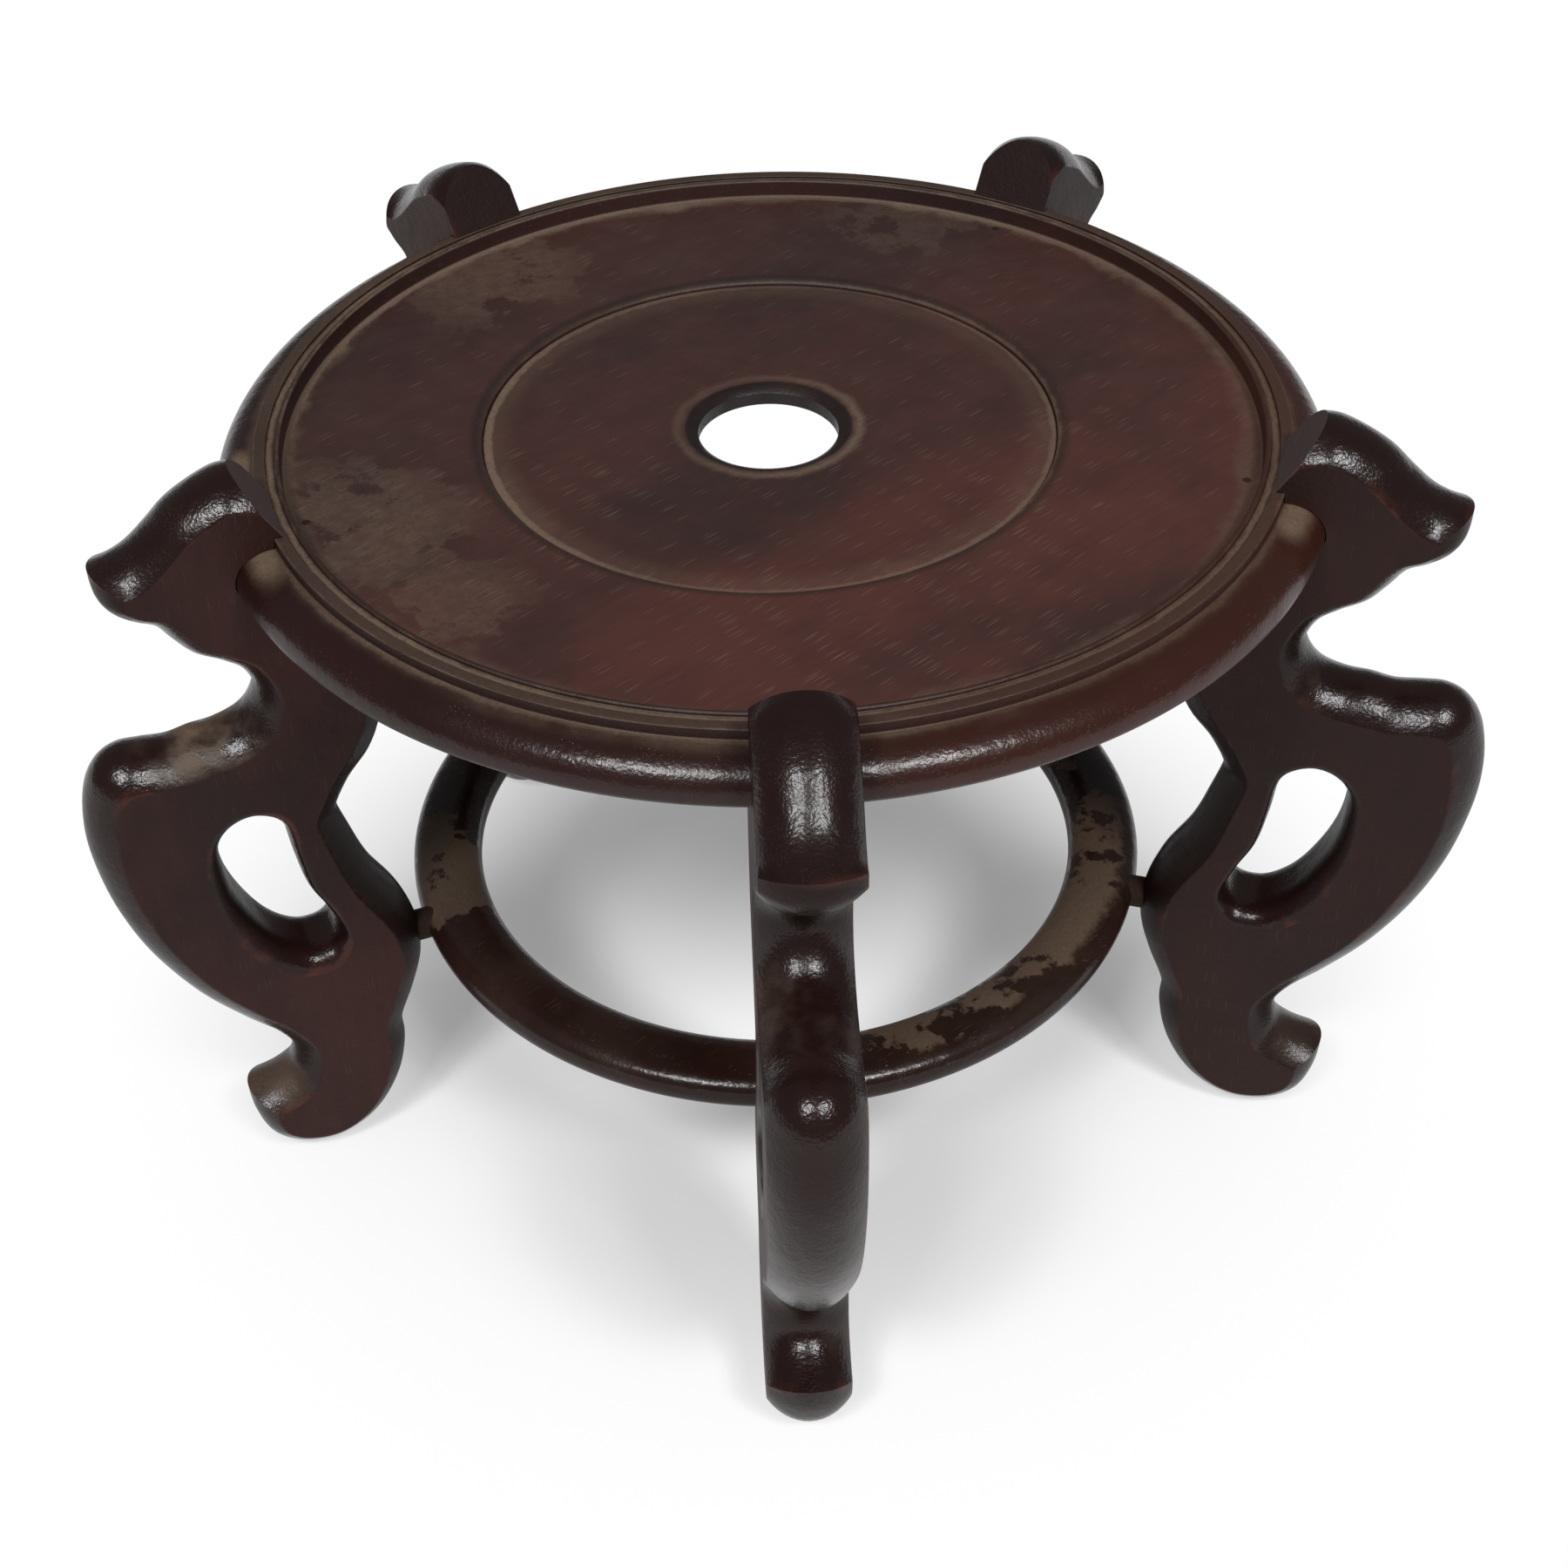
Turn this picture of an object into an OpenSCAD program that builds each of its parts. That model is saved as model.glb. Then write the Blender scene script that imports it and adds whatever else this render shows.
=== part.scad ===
// Chinese hardwood stand: a turned round board with a thin centre panel, carried by five
// pierced S-scroll legs that grip its rim, tied below by a stretcher ring.
// Units are millimetres, +Z is up, the floor is z = 0 and the axis of the board is x = y = 0.

/* [Leg] */
// Height from the floor to the ridge of the upper scroll
leg_height = 206; // [190:1:222]
// How far the shoulder of a leg stands out past the edge of the board
leg_reach = 44.3; // [40:0.1:49]
// Thickness of the plank each leg is cut from
leg_thickness = 20; // [17:0.5:23]
// How round the carved edges are across the thickness (0 = shallow, 0.95 = nearly half round)
dome_fullness = 0.78; // [0.5:0.01:0.92]
// Depth of the worn flat under each foot
sole_wear = 0.6; // [0.3:0.1:1]

/* [Board] */
// Radius of the board over its rounded edge
board_radius = 125.6; // [118:0.1:133]
// Thickness of the board from its underside to the lip
board_thickness = 12.7; // [11.5:0.1:15]
// Depth of the sunk panel below the lip
panel_drop = 4.4; // [3:0.1:5]
// Distance from the edge of the board in to the wall of the lip
lip_inset = 15.6; // [14.6:0.1:17]
// Width of the rounded lip
lip_width = 1.3; // [1:0.1:1.6]
// Width of the groove behind the lip
groove_width = 1.8; // [1.2:0.1:2.2]
// Width of the flat fillet that the legs stand on
fillet_width = 2.8; // [2.2:0.1:3.2]
// How far the fillet lies below the lip
fillet_drop = 0.2; // [0.1:0.1:0.4]
// Depth of the groove below the lip
groove_depth = 0.9; // [0.6:0.1:1.4]
// Step from the fillet down to the rounded edge
edge_step = 2.5; // [1.5:0.1:3]

/* [Centre panel] */
// Radius of the thin panel let into the board
panel_radius = 65; // [58:0.5:72]
// Width of the seat that the thin panel rests on
seat_width = 4.5; // [3:0.5:6]
// Thickness of the thin panel
panel_thickness = 4.2; // [3.4:0.1:4.8]
// How far the thin panel lies below the board around it
panel_sink = 1.4; // [0.8:0.1:1.8]
// Radius of the hole through the middle
hole_radius = 16; // [12:0.5:20]
// Width of the rounded lip round the hole
hole_lip = 3.4; // [2:0.1:4]
// Radius of the curve of that lip
hole_curve = 5; // [4.2:0.1:8]

/* [Stretcher ring] */
// Radial width of the ring
ring_width = 17.8; // [15:0.1:21]
// Thickness of the ring
ring_thickness = 10.4; // [10:0.1:12]
// Height of the middle of the ring above the floor
ring_mid = 63; // [59:0.5:66]
// Gap between the ring and each leg, bridged by a peg
ring_gap = 2.4; // [1.8:0.1:3.2]

/* [Joinery] */
// Radius of the pegs that hang the ring between the legs
peg_radius = 4; // [3.2:0.1:4.2]
// Length of a peg inside the ring
peg_in_ring = 10; // [8:0.5:12]
// Length of a peg inside the leg
peg_in_leg = 11; // [8:0.5:12]
// Radius of the dowels between the legs and the edge of the board
dowel_radius = 2.5; // [2:0.1:2.8]
// Length of a dowel inside the leg
dowel_in_leg = 11; // [8:0.5:13]
// Radius of the pins that lock the dowels
pin_radius = 0.95; // [0.7:0.05:1.1]
// Distance from the wall of the lip in to a pin
pin_inset = 3; // [2:0.1:4]
// Length of a dowel past its pin
dowel_past_pin = 5.5; // [4:0.5:8]
// Wood left under the foot of a pin
pin_cover = 1.4; // [1:0.1:1.8]
// Clearance round pegs, dowels, pins and in the housings
fit = 0.12; // [0.08:0.01:0.2]

/* [Hidden] */
leg_count = 5;
fine = 96;
dark = [0.20, 0.13, 0.11];
red = [0.30, 0.17, 0.14];
peg_tone = [0.34, 0.23, 0.17];

// sizes that the leg was drawn at
drawn_height = 206;
drawn_radius = 125.6;
drawn_reach = 44.3;
drawn_under = 179.9;
drawn_belly = 97.6;
drawn_grip = 113.4;

// heights
rise = leg_height / drawn_height;
board_under = drawn_under * rise;
lip_top = board_under + board_thickness;
panel_top = lip_top - panel_drop;
fillet_top = lip_top - fillet_drop;
groove_floor = lip_top - groove_depth;
edge_top = fillet_top - edge_step;

// radii of the board
lip_radius = board_radius - lip_inset;
groove_end = lip_radius + lip_width + groove_width;
fillet_end = groove_end + fillet_width;
edge_round = (edge_top - board_under) / 2;
edge_centre = board_radius - edge_round;
seat_radius = panel_radius - seat_width;
panel_face = panel_top - panel_sink;
panel_under = panel_face - panel_thickness;

// a point of the leg drawing, moved with the size of the board and the reach of the leg
function leg_point(r, z) = [board_radius + (r - drawn_radius) * leg_reach / drawn_reach, z * rise];
function leg_out(r) = leg_point(r, 0)[0];

// radii of the ring follow the belly of the legs
belly_radius = leg_out(drawn_belly);
ring_outer = belly_radius - ring_gap;
ring_inner = ring_outer - ring_width;
ring_round_out = ring_thickness * 0.42;
ring_round_in = ring_thickness * 0.28;

// dowels and pins
pin_at = lip_radius - pin_inset;
dowel_height = (board_under + panel_top) / 2;
dowel_inner = pin_at - dowel_past_pin;
dowel_outer = board_radius + dowel_in_leg;
pin_foot = board_under + pin_cover;

// Outline of a leg, walked from the end of the upper scroll over the tip, neck, shoulder and
// foot and back up the inside. Each row holds the ridge (r, z), the arris on the flat
// side (r, z) and 1 for a smooth point or 0 for a sharp one.
leg_rows = [
    // crest of the upper scroll, from the sloping cut at its inner end
    [121.3, 206.0, 117.2, 199.0, 0], [124.4, 205.4, 122.8, 200.4, 1], [130.4, 203.1, 127.4, 198.7, 1],
    [136.2, 199.8, 132.6, 195.8, 1], [141.0, 195.6, 137.0, 191.9, 1],
    [145.6, 192.0, 141.8, 187.7, 1], [149.8, 190.0, 145.4, 185.5, 1],
    // sharp lip of the tip, chin and wavy underside
    [154.4, 188.6, 148.5, 185.3, 0], [154.2, 183.2, 149.1, 182.4, 1],
    [152.4, 179.2, 147.5, 180.9, 1], [148.6, 176.1, 145.4, 179.5, 1],
    [144.2, 173.6, 141.0, 177.2, 1], [141.2, 169.2, 137.0, 171.4, 1],
    [137.6, 164.5, 134.0, 167.9, 1], [132.2, 161.0, 129.2, 164.9, 1],
    [127.7, 157.0, 123.7, 160.2, 1],
    // neck, then the shoulder with its two low waves
    [125.4, 150.8, 120.4, 151.2, 1], [127.2, 145.9, 122.5, 142.6, 1],
    [131.2, 142.0, 127.0, 138.0, 1], [136.6, 140.6, 133.6, 134.9, 1],
    [141.6, 140.5, 139.6, 133.8, 1], [147.0, 139.5, 146.2, 132.9, 1],
    [153.0, 140.2, 152.0, 133.5, 1], [158.4, 140.4, 156.6, 133.8, 1],
    [163.6, 137.8, 159.4, 132.5, 1], [167.4, 131.9, 161.5, 128.7, 1],
    [169.7, 121.0, 163.2, 120.0, 1],
    // belly down to the ankle
    [169.7, 109.0, 163.3, 109.0, 1], [167.4, 93.8, 161.1, 95.4, 1],
    [162.6, 78.6, 156.6, 81.6, 1], [154.8, 63.4, 149.6, 67.6, 1],
    [146.0, 51.6, 141.2, 56.2, 1], [138.6, 43.2, 133.8, 47.3, 1],
    [134.9, 35.8, 129.0, 37.0, 1], [136.0, 28.6, 131.0, 25.4, 1],
    [141.2, 24.9, 137.2, 20.2, 1],
    // sharp lip of the toe, sole and heel
    [148.4, 22.7, 142.9, 18.7, 0], [148.0, 15.0, 142.7, 14.4, 1],
    [145.4, 6.6, 140.9, 10.2, 1], [139.0, 1.2, 136.2, 6.8, 1],
    [130.0, -sole_wear, 129.6, 5.6, 1], [121.4, 1.8, 123.6, 7.4, 1],
    [113.8, 7.9, 118.0, 12.0, 1], [108.2, 17.4, 113.6, 19.6, 1],
    [105.6, 27.6, 111.4, 28.2, 1], [105.2, 36.0, 111.2, 38.6, 1],
    // inside edge: belly at the ring, pinch, and the swell under the board
    [100.8, 46.8, 107.6, 48.6, 1], [97.7, 57.0, 104.3, 58.0, 1],
    [97.6, 67.4, 104.3, 67.8, 1], [100.8, 79.0, 107.2, 76.6, 1],
    [106.4, 90.0, 112.6, 87.6, 1], [109.7, 100.6, 116.0, 99.8, 1],
    [112.0, 110.8, 118.4, 112.4, 0.6], [107.6, 119.4, 113.6, 122.0, 1],
    [101.6, 126.4, 107.2, 131.4, 1], [98.0, 135.6, 103.2, 139.4, 1],
    [96.8, 150.0, 101.4, 152.0, 1], [97.6, 179.9, 100.4, 179.9, 0]];

// Outline of the pierced opening: the narrow middle (r, z), then the edge on the flat side.
hole_rows = [
    [131.4, 117.6, 131.4, 120.4, 1], [137.6, 116.0, 138.4, 119.4, 1],
    [141.2, 111.0, 143.8, 113.4, 1], [141.6, 103.0, 145.5, 103.4, 1],
    [140.6, 94.0, 144.8, 92.4, 1], [137.4, 84.6, 141.8, 81.6, 1],
    [132.6, 76.0, 136.4, 71.8, 1], [126.4, 70.6, 128.4, 65.6, 1],
    [120.4, 70.6, 119.4, 66.2, 1], [117.2, 75.2, 115.4, 74.2, 1],
    [119.6, 83.6, 117.8, 84.6, 1], [123.0, 92.0, 121.2, 93.2, 1],
    [124.6, 102.0, 122.7, 103.2, 1], [126.0, 113.0, 124.4, 115.6, 1]];

// layers across the thickness, from one flat side (-1) to the other (1)
layers = [-1, -0.82, -0.5, 0, 0.5, 0.82, 1];
hole_layers = [-1, -0.85, -0.4, 0.4, 0.85, 1];
// rows of the outline and of the opening where the two halves of a flat side meet
seam_rows = [[21, 0], [32, 7]];
function dome(s) = (1 - sqrt(1 - dome_fullness * s * s)) / (1 - sqrt(1 - dome_fullness));
// the opening flares in a quarter round towards the flat sides, where its share is 1
function hole_flare(s) = let(u = max(0, (abs(s) - 0.4) / 0.6)) 1 - sqrt(1 - u * u);

// one outline at a share t of the way from the ridge to the arris
function blend(rows, t) = [for (w = rows)
    concat(leg_point(w[0] + (w[2] - w[0]) * t, w[1] + (w[3] - w[1]) * t), [w[4]])];
function place(p, i) = let(n = len(p)) [p[(i + n) % n][0], p[(i + n) % n][1]];
function slope(p, i) = 0.5 * p[i][2] * (place(p, i + 1) - place(p, i - 1));
function hermite(a, b, ta, tb, u) = (2 * u * u * u - 3 * u * u + 1) * a
    + (u * u * u - 2 * u * u + u) * ta + (3 * u * u - 2 * u * u * u) * b
    + (u * u * u - u * u) * tb;
// a curve through the rows, two steps to a row; a closed one also joins the last to the first
function curve(p, closed) = [for (i = [0:len(p) - 1]) for (u = closed || i < len(p) - 1 ? [0, 0.5] : [0])
    let(j = (i + 1) % len(p)) hermite(place(p, i), place(p, j), slope(p, i), slope(p, j), u)];

// The housing that grips the rim, walked from the underside of the board round its edge to the
// fillet, at a distance y from the middle of the leg. Flats are drawn round the rounded edge.
function chord(radius, y) = sqrt(radius * radius - y * y);
function housing(y) = let(swell = edge_round + fit) concat(
    [for (a = [-75:30:75]) [chord(edge_centre + swell * cos(a) / cos(15), y),
        max(board_under, edge_top - edge_round + swell * sin(a) / cos(15))]],
    [[chord(fillet_end + fit, y), edge_top + fit], [chord(fillet_end + fit, y), fillet_top + fit],
     [leg_out(drawn_grip), fillet_top + fit]]);

function leg_outline(s) = concat(curve(blend(leg_rows, dome(s)), false), housing(s * leg_thickness / 2));
function hole_outline(s) = curve(blend(hole_rows, hole_flare(s)), true);

// points of one outline to each layer, and the triangles between neighbouring layers
function skin_points(rings, places) = [for (j = [0:len(places) - 1]) for (q = rings[j])
    [q[0], places[j] * leg_thickness / 2, q[1]]];
function skin_sides(n, m, start, outward) = [for (j = [0:m - 2]) for (i = [0:n - 1])
    let(k = (i + 1) % n, a = start + j * n, b = a + n)
    for (t = [[a + i, b + k, a + k], [a + i, b + i, b + k]]) outward ? t : [t[2], t[1], t[0]]];
function reversed(list) = [for (i = [len(list) - 1:-1:0]) list[i]];
function walk(from, to, n) = [for (i = [0:(to - from + n) % n]) (from + i) % n];

// a flat outline, walked clockwise, cut into triangles one ear at a time
function turn(a, b, c) = (b[0] - a[0]) * (c[1] - a[1]) - (b[1] - a[1]) * (c[0] - a[0]);
function covers(a, b, c, q) = turn(a, b, q) < 1e-6 && turn(b, c, q) < 1e-6 && turn(c, a, q) < 1e-6;
function is_ear(flat, a, b, c, rest) = turn(flat[a], flat[b], flat[c]) < -0.01
    && len([for (q = rest) if (q != a && q != b && q != c && covers(flat[a], flat[b], flat[c], flat[q])) q]) == 0;
function first_ear(flat, rest, i) = let(n = len(rest)) i > n ? 0
    : is_ear(flat, rest[(i + n - 1) % n], rest[i % n], rest[(i + 1) % n], rest) ? i % n
    : first_ear(flat, rest, i + 1);
function ears(flat, rest, done) = len(rest) == 3 ? concat(done, [rest])
    : let(n = len(rest), i = first_ear(flat, rest, 1))
        ears(flat, [for (j = [1:n - 1]) rest[(i + j) % n]],
            concat(done, [[rest[(i + n - 1) % n], rest[i], rest[(i + 1) % n]]]));

// a leg with its opening: both skins, and each flat side in two halves that meet at the seams
module pierced_plank() {
    outer = [for (s = layers) leg_outline(s)];
    inner = [for (s = hole_layers) hole_outline(s)];
    n = len(outer[0]);
    h = len(inner[0]);
    m = len(layers);
    k = len(hole_layers);
    top = 2 * seam_rows[0];
    low = 2 * seam_rows[1];
    flat = concat(outer[0], inner[0]);
    halves = [concat(walk(top[0], low[0], n), [for (i = reversed(walk(top[1], low[1], h))) n + i]),
              concat(walk(low[0], top[0], n), [for (i = reversed(walk(low[1], top[1], h))) n + i])];
    side = concat(ears(flat, halves[0], []), ears(flat, halves[1], []));
    near = [for (t = side) [for (i = t) i < n ? i : n * (m - 1) + i]];
    far = [for (t = side) [for (i = reversed(t)) i < n ? n * (m - 1) + i : n * (m - 1) + h * (k - 1) + i]];
    polyhedron(points = concat(skin_points(outer, layers), skin_points(inner, hole_layers)),
        faces = concat(skin_sides(n, m, 0, true), skin_sides(h, k, n * m, false), near, far),
        convexity = 10);
}

function leg_angle(i) = -90 + 360 / leg_count * (i - 1);

module radial_rod(radius, from, to, height) {
    translate([from, 0, height]) rotate([0, 90, 0]) cylinder(r = radius, h = to - from, $fn = fine);
}

// a pierced S-scroll leg
module leg(i) {
    color(dark) rotate([0, 0, leg_angle(i)]) difference() {
        pierced_plank();
        translate([0, -leg_thickness, -leg_thickness]) cube([2 * board_radius, 2 * leg_thickness, leg_thickness]);
        radial_rod(dowel_radius + fit, edge_centre, dowel_outer, dowel_height);
        radial_rod(peg_radius + fit, ring_outer, belly_radius + peg_in_leg, ring_mid);
    }
}

// a dowel from the edge of the board into a leg
module leg_dowel(i) {
    color(peg_tone) rotate([0, 0, leg_angle(i)]) difference() {
        radial_rod(dowel_radius, dowel_inner, dowel_outer, dowel_height);
        translate([pin_at, 0, board_under]) cylinder(r = pin_radius + fit, h = board_thickness, $fn = 48);
    }
}

// a small pin driven through the panel that locks a dowel
module lock_pin(i) {
    color(peg_tone) rotate([0, 0, leg_angle(i)])
        translate([pin_at, 0, pin_foot]) cylinder(r = pin_radius, h = panel_top - pin_foot, $fn = 48);
}

// a peg from the ring into the belly of a leg
module ring_peg(i) {
    color(peg_tone) rotate([0, 0, leg_angle(i)])
        radial_rod(peg_radius, ring_outer - peg_in_ring, belly_radius + peg_in_leg, ring_mid);
}

// section of the board: sunk panel, lip, groove, fillet, step and rounded edge
module board_section() {
    difference() {
        union() {
            translate([seat_radius, board_under]) square([lip_radius - seat_radius + 1, panel_top - board_under]);
            translate([lip_radius, board_under]) square([groove_end - lip_radius + 1, groove_floor - board_under]);
            translate([lip_radius, groove_floor - 1]) square([lip_width, lip_top - groove_floor + 1 - lip_width / 2]);
            translate([lip_radius + lip_width / 2, lip_top - lip_width / 2]) circle(d = lip_width, $fn = 48);
            translate([groove_end, board_under]) square([fillet_width, fillet_top - board_under]);
            translate([lip_radius, board_under]) square([edge_centre - lip_radius, edge_top - board_under]);
            translate([edge_centre, edge_top - edge_round]) circle(r = edge_round, $fn = fine);
        }
        translate([0, panel_under]) square([panel_radius + fit, board_thickness]);
    }
}

module top_board() {
    color(red) difference() {
        rotate_extrude($fn = fine) board_section();
        for (i = [1:leg_count]) rotate([0, 0, leg_angle(i)]) {
            radial_rod(dowel_radius + fit, dowel_inner, dowel_outer, dowel_height);
            translate([pin_at, 0, pin_foot]) cylinder(r = pin_radius + fit, h = board_thickness, $fn = 48);
        }
    }
}

// thin panel with a rounded hole, resting on the seat of the board
module centre_panel() {
    color(red) rotate_extrude($fn = fine) {
        translate([hole_radius + hole_lip, panel_under])
            square([panel_radius - hole_radius - hole_lip, panel_thickness]);
        intersection() {
            translate([hole_radius, panel_under]) square([hole_lip, panel_thickness]);
            translate([hole_radius + hole_lip, panel_face - hole_curve]) circle(r = hole_curve, $fn = fine);
        }
    }
}

module ring_section() {
    low = ring_mid - ring_thickness / 2;
    top = ring_mid + ring_thickness / 2;
    a = ring_round_in;
    b = ring_round_out;
    translate([ring_inner + a, low]) square([ring_width - a - b, ring_thickness]);
    translate([ring_inner, low + a]) square([ring_width / 2, ring_thickness - 2 * a]);
    translate([ring_outer - ring_width / 2, low + b]) square([ring_width / 2, ring_thickness - 2 * b]);
    for (z = [low + a, top - a]) translate([ring_inner + a, z]) circle(r = a, $fn = 64);
    for (z = [low + b, top - b]) translate([ring_outer - b, z]) circle(r = b, $fn = 64);
}

module stretcher_ring() {
    color(dark) difference() {
        rotate_extrude($fn = fine) ring_section();
        for (i = [1:leg_count]) rotate([0, 0, leg_angle(i)])
            radial_rod(peg_radius + fit, ring_outer - peg_in_ring, belly_radius, ring_mid);
    }
}

top_board();
centre_panel();
stretcher_ring();
leg(1);  // leg_1
leg(2);  // leg_2
leg(3);  // leg_3
leg(4);  // leg_4
leg(5);  // leg_5
leg_dowel(1);  // leg_dowel_1
leg_dowel(2);  // leg_dowel_2
leg_dowel(3);  // leg_dowel_3
leg_dowel(4);  // leg_dowel_4
leg_dowel(5);  // leg_dowel_5
lock_pin(1);  // lock_pin_1
lock_pin(2);  // lock_pin_2
lock_pin(3);  // lock_pin_3
lock_pin(4);  // lock_pin_4
lock_pin(5);  // lock_pin_5
ring_peg(1);  // ring_peg_1
ring_peg(2);  // ring_peg_2
ring_peg(3);  // ring_peg_3
ring_peg(4);  // ring_peg_4
ring_peg(5);  // ring_peg_5
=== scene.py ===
"""Looks of a round Chinese hardwood stand on five pierced scroll legs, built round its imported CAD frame."""

import logging
import math
from abc import ABC, abstractmethod
from dataclasses import dataclass
from enum import Enum

import bmesh
import bpy
import numpy as np
from mathutils import Matrix, Vector


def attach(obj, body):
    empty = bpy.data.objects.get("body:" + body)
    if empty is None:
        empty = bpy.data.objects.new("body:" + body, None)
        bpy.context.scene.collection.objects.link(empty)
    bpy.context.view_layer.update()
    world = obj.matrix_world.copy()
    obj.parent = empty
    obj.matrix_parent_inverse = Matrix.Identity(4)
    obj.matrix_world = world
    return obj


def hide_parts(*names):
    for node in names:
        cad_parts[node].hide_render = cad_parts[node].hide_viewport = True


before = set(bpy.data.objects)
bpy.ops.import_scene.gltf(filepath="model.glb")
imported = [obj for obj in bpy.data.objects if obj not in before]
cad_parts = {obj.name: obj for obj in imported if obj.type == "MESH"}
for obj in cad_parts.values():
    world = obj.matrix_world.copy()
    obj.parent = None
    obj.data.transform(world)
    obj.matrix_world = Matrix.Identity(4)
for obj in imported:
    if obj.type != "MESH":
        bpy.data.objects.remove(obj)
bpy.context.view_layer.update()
LOG = logging.getLogger("stand")
MM = 0.001
LEG_COUNT = 5
LEG_NUMBERS = range(1, LEG_COUNT + 1)
Points = list[tuple[float, float]]
Span = tuple[float, float]
Zone = tuple[float, float, float]


def linear(hexcode: str) -> tuple[float, float, float, float]:
    """Turn a written colour into the linear values that shaders take.

    Args:
        hexcode: the colour as it is seen, such as "4a2a24".

    Returns:
        Red, green, blue and an alpha of 1.
    """
    parts = [int(hexcode[i:i + 2], 16) / 255 for i in (0, 2, 4)]
    straight = [c / 12.92 if c <= 0.04045 else ((c + 0.055) / 1.055) ** 2.4 for c in parts]
    return (*straight, 1.0)


def leg_angle(number: int) -> float:
    """The direction of a leg round the stand, in radians. Leg 1 stands at the front."""
    return math.radians(-90 + 360 / LEG_COUNT * (number - 1))


class Socket:
    """One output of a shader tree, with Python operators that add Math nodes."""

    def __init__(self, tree: "ShaderTree", socket: bpy.types.NodeSocket) -> None:
        """Keep the tree and the output."""
        self.tree = tree
        self.socket = socket

    def _math(self, operation: str, first: object, second: object) -> "Socket":
        """Add one Math node.

        Args:
            operation: the Math node's operation.
            first: a number or Socket.
            second: a number or Socket.

        Returns:
            The node's result.
        """
        return self.tree.node("ShaderNodeMath", {"operation": operation}, {0: first, 1: second})

    def __add__(self, other: object) -> "Socket":
        """self + other"""
        return self._math("ADD", self, other)

    def __radd__(self, other: object) -> "Socket":
        """other + self"""
        return self._math("ADD", other, self)

    def __sub__(self, other: object) -> "Socket":
        """self - other"""
        return self._math("SUBTRACT", self, other)

    def __rsub__(self, other: object) -> "Socket":
        """other - self"""
        return self._math("SUBTRACT", other, self)

    def __mul__(self, other: object) -> "Socket":
        """self * other"""
        return self._math("MULTIPLY", self, other)

    def __rmul__(self, other: object) -> "Socket":
        """other * self"""
        return self._math("MULTIPLY", other, self)

    def __truediv__(self, other: object) -> "Socket":
        """self / other"""
        return self._math("DIVIDE", self, other)

    def highest(self, other: object) -> "Socket":
        """The larger of self and other."""
        return self._math("MAXIMUM", self, other)

    def lowest(self, other: object) -> "Socket":
        """The smaller of self and other."""
        return self._math("MINIMUM", self, other)

    def rise(self, low: float, high: float) -> "Socket":
        """A smooth step.

        Args:
            low: where the step leaves 0.
            high: where it reaches 1; below low the step falls instead.

        Returns:
            0 to 1.
        """
        return self.tree.node("ShaderNodeMapRange", {"interpolation_type": "SMOOTHSTEP"},
                              {"Value": self, "From Min": low, "From Max": high})

    def band(self, low: float, high: float, soft: float) -> "Socket":
        """1 between low and high, fading to 0 over soft on either side."""
        return self.rise(low - soft, low + soft) * self.rise(high + soft, high - soft)

    def past(self, low: float, high: float) -> "Socket":
        """A smooth step between two lengths in millimetres."""
        return self.rise(low * MM, high * MM)

    def zone(self, limits: Zone) -> "Socket":
        """1 between the first two lengths, fading to 0 over the third on either side, in millimetres."""
        low, high, soft = limits
        return self.band(low * MM, high * MM, soft * MM)


class ShaderTree:
    """A material's node tree, filled through one method."""

    def __init__(self, name: str) -> None:
        """Start an empty material.

        Args:
            name: the material's name.
        """
        self.material = bpy.data.materials.new(name)
        self.material.use_nodes = True
        self.nodes = self.material.node_tree.nodes
        self.links = self.material.node_tree.links
        self.nodes.clear()

    def node(self, kind: str, settings: dict | None = None, sockets: dict | None = None,
             out: int | str = 0) -> Socket:
        """Add a node.

        Args:
            kind: the node's type.
            settings: the node's own properties, set first.
            sockets: values or Sockets by input name or number.
            out: the output to hand back.

        Returns:
            That output as a Socket.
        """
        made = self.nodes.new(kind)
        for key, value in (settings or {}).items():
            setattr(made, key, value)
        for key, value in (sockets or {}).items():
            if isinstance(value, Socket):
                self.links.new(value.socket, made.inputs[key])
            else:
                made.inputs[key].default_value = value
        return Socket(self, made.outputs[out]) if len(made.outputs) else Socket(self, None)

    def place(self) -> Socket:
        """The surface point in the stand's frame, in metres."""
        return self.node("ShaderNodeTexCoord", out="Object")

    def along(self, place: Socket, axis: tuple[float, float, float]) -> Socket:
        """How far a point lies along an axis."""
        return self.node("ShaderNodeVectorMath", {"operation": "DOT_PRODUCT"}, {0: place, 1: axis}, "Value")

    def vector(self, x: object, y: object, z: object) -> Socket:
        """A vector from three values."""
        return self.node("ShaderNodeCombineXYZ", None, {0: x, 1: y, 2: z})

    def noise(self, place: Socket, scale: float, detail: float = 3.0, rough: float = 0.55) -> Socket:
        """Noise from 0 to 1 at so many features to the metre."""
        return self.node("ShaderNodeTexNoise", None,
                         {"Vector": place, "Scale": scale, "Detail": detail, "Roughness": rough})

    def mix(self, share: object, first: object, second: object) -> Socket:
        """A colour between first and second."""
        return self.node("ShaderNodeMix", {"data_type": "RGBA"}, {0: share, 6: first, 7: second}, 2)

    def finish(self, satin: dict, polished: dict, polish: object) -> bpy.types.Material:
        """Close the tree with a satin and a polished shader.

        Args:
            satin: inputs of the shader for the dull places.
            polished: inputs of the shader for the rubbed and polished places.
            polish: the share of the polished shader, a value or Socket.

        Returns:
            The material.
        """
        dull = self.node("ShaderNodeBsdfPrincipled", None, satin)
        bright = self.node("ShaderNodeBsdfPrincipled", None, polished)
        both = self.node("ShaderNodeMixShader", None, {0: polish, 1: dull, 2: bright})
        self.node("ShaderNodeOutputMaterial", None, {"Surface": both})
        return self.material


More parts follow.
